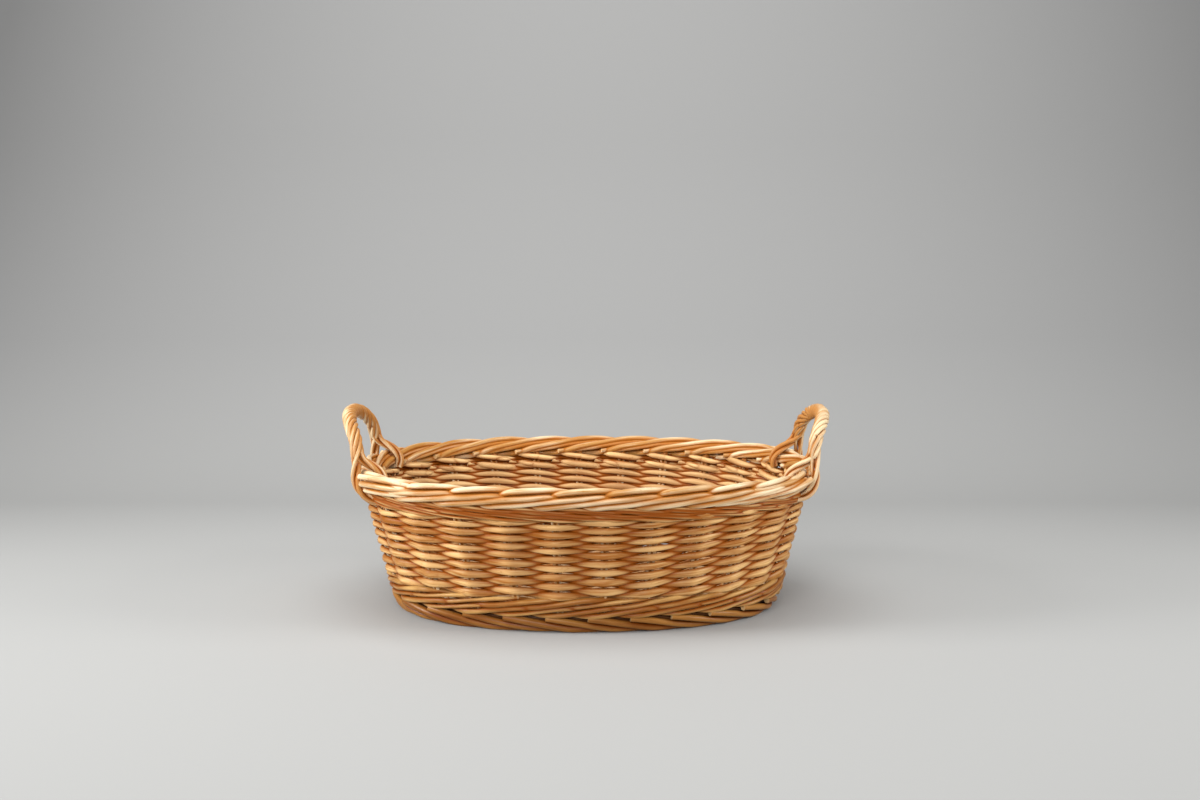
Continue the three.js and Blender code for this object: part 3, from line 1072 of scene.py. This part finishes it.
class BASKET_OT_handles(Operator):
    """Twists the two handles and ties their legs round the border"""

    bl_idname = "basket.handles"
    bl_label = "Handles"

    # The arch is half an oval, squarer with less power. The legs take over this many of its steps
    # from both ends. It leans out later with more power.
    ARCH_STEPS = 40
    ARCH_CUT = 6
    ARCH_POWER = 0.833
    LEAN_POWER = 2.5
    # How thick the rope is low in the arch, as a share of the top.
    LOW_ROPE = 0.88
    # How far from the top the strands' twist is loosest, in metres. More power loosens it later.
    LOOSEST_AT = 0.085
    LOOSENING = 1.5
    # Where a leg's strands go from the arch, as (x, y, z) in mm and the bundle's radius in mm.
    OUTER_LEG = [
        (222, 66.5, 163, 4.3),
        (223, 69, 150, 3.1),
        (223, 70.5, 138, 2.8),
        (219.5, 71, 127, 2.7),
        (211.5, 70.5, 119.5, 2.7),
        (202, 70, 117, 2.6),
    ]
    INNER_LEG = [
        (221.8, 66, 163, 4.3),
        (219.8, 66.3, 159.2, 3.7),
        (216, 66.5, 155.2, 2.9),
        (210.5, 66.5, 151.6, 2.6),
        (204.5, 66.5, 147.6, 2.5),
        (199, 66.5, 142.4, 2.5),
        (195.8, 66.5, 135.4, 2.5),
        (197, 66.5, 127.5, 2.5),
    ]

    def arch(self, sizes):
        """Stations of the arch from low at the front leg, over the top, to low at the back."""
        stations = []
        for step in range(self.ARCH_CUT, self.ARCH_STEPS - self.ARCH_CUT + 1):
            turn = math.pi * step / self.ARCH_STEPS
            rise = math.sin(turn) ** self.ARCH_POWER
            x = sizes.leg + sizes.lean * rise**self.LEAN_POWER
            y = -sizes.half_span * signed_power(math.cos(turn), self.ARCH_POWER)
            z = sizes.foot + sizes.rise * rise
            radius = sizes.rope * (self.LOW_ROPE + (1 - self.LOW_ROPE) * rise)
            stations.append((x, y, z, radius))
        return stations

    def twisted(self, line, sizes, side):
        """The line with the strands' turn at each station, tight at the top and loose below."""
        places = [Vector(station[:3]) for station in line]
        top = max(range(len(line)), key=lambda number: line[number][2])
        turns = {top: 0.0}
        for step, end in ((-1, -1), (1, len(line))):
            length = turn = 0.0
            for number in range(top + step, end, step):
                passed = (places[number] - places[number - step]).length
                length += passed
                looseness = min(length / self.LOOSEST_AT, 1) ** self.LOOSENING
                pitch = sizes.tight + (sizes.loose - sizes.tight) * looseness
                turn += math.tau * passed / pitch
                turns[number] = step * turn
        return [
            (side * x, side * y, z, radius, turns[number])
            for number, (x, y, z, radius) in enumerate(line)
        ]

    def execute(self, context):
        sizes = context.scene.handle_sizes
        arch = self.arch(sizes)
        shared = {
            "Strands": 3,
            "Radius": context.scene.rod_sizes.strand,
            "Sides": 12,
            "Wander": 0.0004,
            "Material": bpy.data.materials["handle_rods"],
        }
        for name, side in (("right_handle", 1), ("left_handle", -1)):
            # The rope's strands take turns: every second one goes to the inner legs.
            for part, leg, first, seed in (
                ("outer", self.OUTER_LEG, 0.0, 51),
                ("inner", self.INNER_LEG, 0.5, 61),
            ):
                back = [tuple(number * MM for number in station) for station in leg]
                front = [(x, -y, z, radius) for x, y, z, radius in reversed(back)]
                line = self.twisted(smooth(front + arch + back, 5), sizes, side)
                own = {"Outwards": (side, 0, 0), "First": first, "Seed": seed + side}
                piece = f"{name}_{part}"
                inputs = {**shared, **own}
                grow(piece, "Twisted Strands", [name], [line], inputs)
        return {"FINISHED"}


class BASKET_OT_studio(Operator):
    """Sets up the paper sweep, the soft lights and the camera"""

    bl_idname = "basket.studio"
    bl_label = "Studio"

    # Name, place, what it points at, size across and up in metres, power in watts.
    LIGHTS = [
        ("top_light", (-0.1, -0.2, 1.5), (0, 0, 0.1), 1.4, 1.2, 19),
        ("left_light", (-1.6, -0.4, 0.75), (0, 0, 0.12), 0.6, 0.8, 32),
        ("right_light", (1.65, -0.4, 0.75), (0, 0, 0.12), 0.6, 0.8, 21),
        ("front_light", (-0.3, -2.4, 1.05), (0, 0, 0.1), 1.6, 0.8, 47),
    ]

    # The paper runs level from its front to the bend and then straight up, all in metres.
    FRONT = -4
    BEND = 0.55
    BEND_RADIUS = 0.5
    BEND_STEPS = 16
    TOP = 4
    HALF_WIDTH = 5
    # How much the world lights the scene, and how bright it looks beyond the paper.
    GLOW = 0.06
    SEEN = 0.5

    def execute(self, context):
        studio = context.scene.studio
        colours = context.scene.basket_colours
        profile = [(self.FRONT, 0), (self.BEND, 0)]
        for step in range(1, self.BEND_STEPS + 1):
            turn = math.pi / 2 * step / self.BEND_STEPS
            y = self.BEND + self.BEND_RADIUS * math.sin(turn)
            profile.append((y, self.BEND_RADIUS * (1 - math.cos(turn))))
        profile.append((self.BEND + self.BEND_RADIUS, self.TOP))
        vertices = [(x, y, z) for y, z in profile for x in (-self.HALF_WIDTH, self.HALF_WIDTH)]
        corners = range(0, len(vertices) - 2, 2)
        faces = [(corner, corner + 1, corner + 3, corner + 2) for corner in corners]
        mesh = bpy.data.meshes.new("sweep")
        mesh.from_pydata(vertices, [], faces)
        mesh.shade_smooth()
        mesh.materials.append(backdrop("paper", tuple(colours.floor), tuple(colours.wall)))
        sweep = bpy.data.objects.new("sweep", mesh)
        context.collection.objects.link(sweep)

        for name, place, target, across, up, power in self.LIGHTS:
            light = bpy.data.lights.new(name, "AREA")
            light.shape = "RECTANGLE"
            light.size = across
            light.size_y = up
            light.energy = power
            lamp = bpy.data.objects.new(name, light)
            lamp.location = place
            aim = Vector(target) - Vector(place)
            lamp.rotation_euler = aim.to_track_quat("-Z", "Y").to_euler()
            context.collection.objects.link(lamp)

        context.scene.world = pale_world("studio", self.GLOW, self.SEEN)

        camera = bpy.data.cameras.new("camera")
        camera.sensor_width = 36
        camera.lens = studio.lens
        view = bpy.data.objects.new("camera", camera)
        view.location = studio.camera_place
        view.rotation_euler = (studio.camera_tilt, 0, 0)
        context.collection.objects.link(view)
        context.scene.camera = view
        context.scene.view_settings.view_transform = "Standard"
        return {"FINISHED"}


class BASKET_PT_panel(Panel):
    """Lists the steps that build the basket"""

    bl_idname = "BASKET_PT_panel"
    bl_label = "Willow Basket"
    bl_space_type = "VIEW_3D"
    bl_region_type = "UI"
    bl_category = "Basket"

    def draw(self, context):
        for step in STEPS:
            self.layout.operator(step.bl_idname)


STEPS = [
    BASKET_OT_prepare,
    BASKET_OT_stakes,
    BASKET_OT_siding,
    BASKET_OT_wales,
    BASKET_OT_foot,
    BASKET_OT_base,
    BASKET_OT_handles,
    BASKET_OT_studio,
]
SETTINGS = {
    "basket_sizes": BasketSizes,
    "rod_sizes": RodSizes,
    "handle_sizes": HandleSizes,
    "basket_colours": BasketColours,
    "studio": Studio,
}


def register():
    for group in [*SETTINGS.values(), *STEPS, BASKET_PT_panel]:
        bpy.utils.register_class(group)
    for name, group in SETTINGS.items():
        setattr(bpy.types.Scene, name, PointerProperty(type=group))


def unregister():
    for name in SETTINGS:
        delattr(bpy.types.Scene, name)
    for group in [BASKET_PT_panel, *STEPS, *SETTINGS.values()]:
        bpy.utils.unregister_class(group)


def main():
    """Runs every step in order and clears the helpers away."""
    register()
    for step in STEPS:
        space, name = step.bl_idname.split(".")
        getattr(getattr(bpy.ops, space), name)()
    for name in ("floor_oval", "rim_oval"):
        bpy.data.objects.remove(bpy.data.objects[name])


if __name__ == "__main__":
    main()
